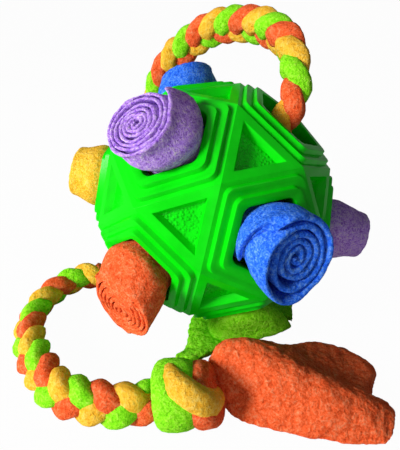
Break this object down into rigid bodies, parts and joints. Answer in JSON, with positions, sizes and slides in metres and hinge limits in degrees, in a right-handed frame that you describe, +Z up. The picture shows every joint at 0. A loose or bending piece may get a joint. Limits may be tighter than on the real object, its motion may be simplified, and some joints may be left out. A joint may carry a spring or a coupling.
{
  "type": "snuffle ball dog toy",
  "caption": "Green rubber snuffle ball with windows stuffed with rolled coloured fleece, and a braided fleece rope that loops over it and ends in a knot with loose tails.",
  "frame": {"origin": "on the floor under the middle of the ball, its stuffing and the handle, at the centre of their box", "axes": "+Z up, -Y towards the viewer's side with the end knot, +Y towards the handle's back, +X away from the lead"},
  "size_m": [0.2007, 0.2089, 0.1634],
  "materials": {
    "rubber_green": "satin moulded rubber with a fine pebble",
    "fleece_purple": "brushed polyester fleece",
    "fleece_blue": "brushed polyester fleece",
    "fleece_orange": "brushed polyester fleece",
    "fleece_yellow": "brushed polyester fleece",
    "fleece_lime": "brushed polyester fleece",
    "fleece_braid": "braid of green, orange and yellow fleece strips"
  },
  "bodies": {
    "ball": {"ball_shell": "rubber_green", "rope_handle": "fleece_braid", "rope_core": "fleece_braid", "rope_lead": "fleece_braid", "stopper_knot": "fleece_braid", "end_knot": "fleece_braid", "tail_orange": "fleece_orange", "tail_green": "fleece_lime"},
    "roll_top_left_body": {"roll_top_left": "fleece_purple"},
    "roll_front_body": {"roll_front": "fleece_blue"},
    "roll_front_left_body": {"roll_front_left": "fleece_orange"},
    "roll_top_back_body": {"roll_top_back": "fleece_blue"},
    "roll_left_body": {"roll_left": "fleece_yellow"},
    "roll_right_body": {"roll_right": "fleece_purple"},
    "roll_base_front_body": {"roll_base_front": "fleece_lime"},
    "roll_base_back_body": {"roll_base_back": "fleece_yellow"},
    "roll_back_right_body": {"roll_back_right": "fleece_lime"}
  },
  "joints": [
    {"name": "pull_top_left", "type": "slide", "parent": "ball", "child": "roll_top_left_body", "axis": [-0.3611, -0.488, 0.7947], "range_m": [0, 0.0269]},
    {"name": "pull_front", "type": "slide", "parent": "ball", "child": "roll_front_body", "axis": [0.3917, -0.9008, 0.1876], "range_m": [0, 0.0204]},
    {"name": "pull_front_left", "type": "slide", "parent": "ball", "child": "roll_front_left_body", "axis": [-0.5843, -0.7896, -0.1876], "range_m": [0, 0.0204]},
    {"name": "pull_top_back", "type": "slide", "parent": "ball", "child": "roll_top_back_body", "axis": [-0.2421, 0.5567, 0.7947], "range_m": [0, 0.0281]},
    {"name": "pull_left", "type": "slide", "parent": "ball", "child": "roll_left_body", "axis": [-0.9759, 0.1112, 0.1876], "range_m": [0, 0.0256]},
    {"name": "pull_right", "type": "slide", "parent": "ball", "child": "roll_right_body", "axis": [0.9759, -0.1112, -0.1876], "range_m": [0, 0.0178]},
    {"name": "pull_base_front", "type": "slide", "parent": "ball", "child": "roll_base_front_body", "axis": [0.2421, -0.5567, -0.7947], "range_m": [0, 0.0223]},
    {"name": "pull_base_back", "type": "slide", "parent": "ball", "child": "roll_base_back_body", "axis": [0.3611, 0.488, -0.7947], "range_m": [0, 0.0223]},
    {"name": "pull_back_right", "type": "slide", "parent": "ball", "child": "roll_back_right_body", "axis": [0.5843, 0.7896, 0.1876], "range_m": [0, 0.0217]}
  ]
}
